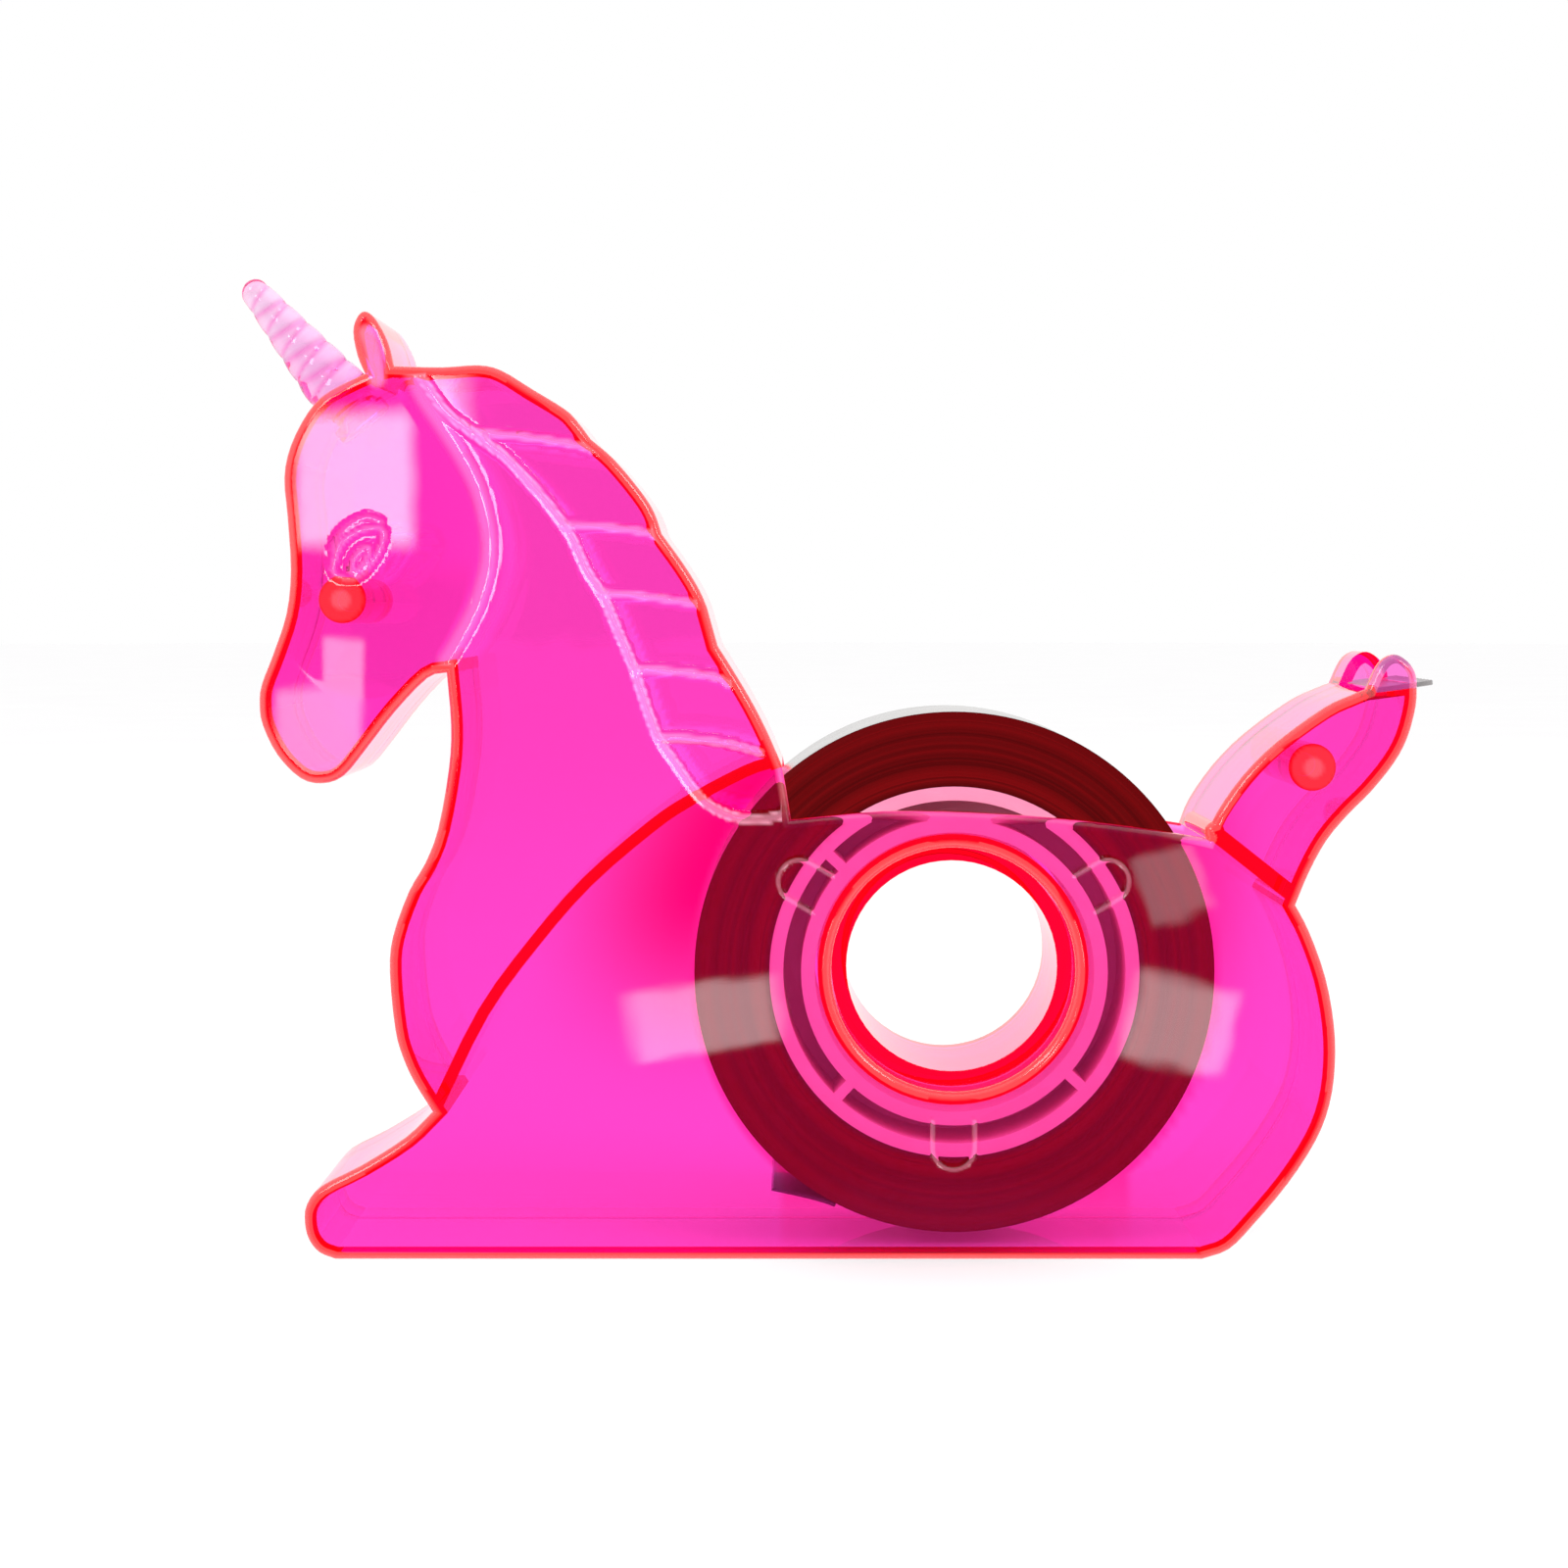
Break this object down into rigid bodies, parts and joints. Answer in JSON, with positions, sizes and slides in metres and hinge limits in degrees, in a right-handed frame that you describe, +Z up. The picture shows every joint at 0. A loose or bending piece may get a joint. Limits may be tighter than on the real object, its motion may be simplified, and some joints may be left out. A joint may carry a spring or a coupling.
{
  "type": "tape dispenser",
  "caption": "Unicorn-shaped desk tape dispenser: two clear moulded shells round a tape roll on a hub, with a spiral horn and a serrated cutter blade on the tail.",
  "frame": {"origin": "centre of the base footprint on the surface it stands on", "axes": "+Z up, +X towards the tail and the cutter, -Y towards the front plate with the hub's mouth"},
  "size_m": [0.1129, 0.022, 0.0921],
  "materials": {
    "clear_pink": "clear fluorescent pink polystyrene, polished mould",
    "horn_pink": "pale clear pink polystyrene, polished mould",
    "steel": "stamped spring steel",
    "core_pink": "clear moulded plastic core",
    "tape": "wound clear film, seen from the side",
    "tab": "folded film tab"
  },
  "bodies": {
    "body": {"front_shell": "clear_pink", "horn": "horn_pink", "cutter_blade": "steel"},
    "cover": {"back_cover": "clear_pink"},
    "roll": {"tape_core": "core_pink", "tape_roll": "tape", "tape_lead_tab": "tab"}
  },
  "joints": [
    {"name": "roll_spin", "type": "hinge", "parent": "body", "child": "roll", "pos_m": [0.01165, 0, 0.02658], "axis": [0, -1, 0], "continuous": true},
    {"name": "cover_slide", "type": "slide", "parent": "body", "child": "cover", "axis": [0, 1, 0], "range_m": [0, 0.03]}
  ]
}
